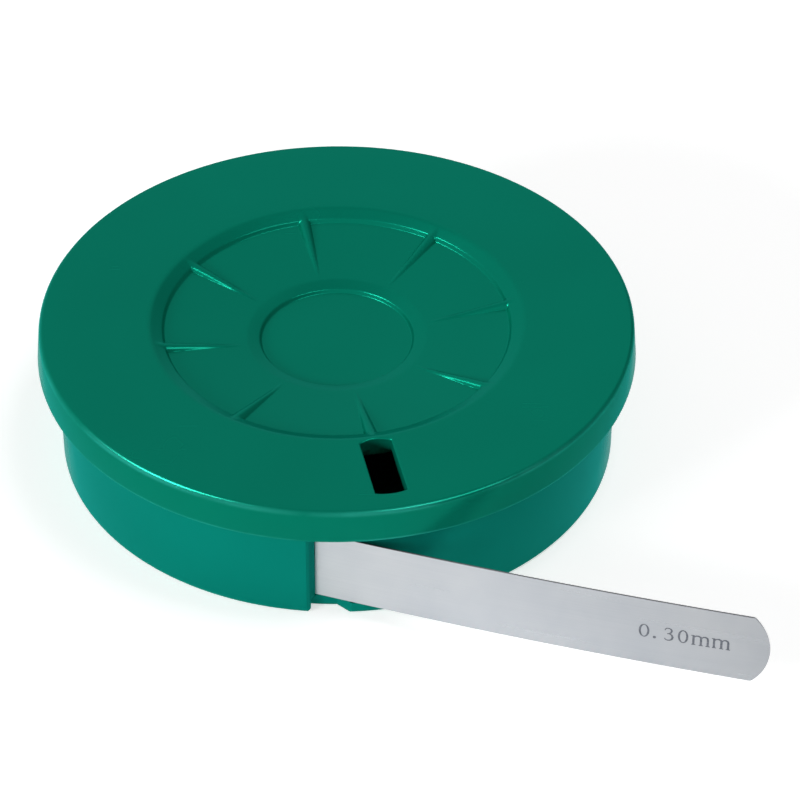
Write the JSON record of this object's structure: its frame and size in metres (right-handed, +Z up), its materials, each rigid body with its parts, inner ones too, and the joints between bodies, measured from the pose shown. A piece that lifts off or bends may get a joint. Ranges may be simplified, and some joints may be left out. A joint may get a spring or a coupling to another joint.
{
  "type": "shim stock roll in a round case",
  "caption": "Coil of thin spring-steel shim strip in a flat round plastic case; the strip leaves by a mouth in the wall and the lid lifts off.",
  "frame": {"origin": "on the case's axis, in the plane of its flat underside", "axes": "+Z up along the case's axis; -Y towards the front, where the strip leaves the case and runs off to +X"},
  "size_m": [0.1176, 0.1165, 0.024],
  "materials": {
    "case_green": "satin",
    "lid_green": "satin",
    "strip_steel": "bright rolled"
  },
  "bodies": {
    "base": {"case_base": "case_green", "steel_band": "strip_steel"},
    "lid": {"case_lid": "lid_green"}
  },
  "joints": [
    {"name": "lid_lift", "type": "slide", "parent": "base", "child": "lid", "axis": [0, 0, 1], "range_m": [0, 0.03]}
  ]
}
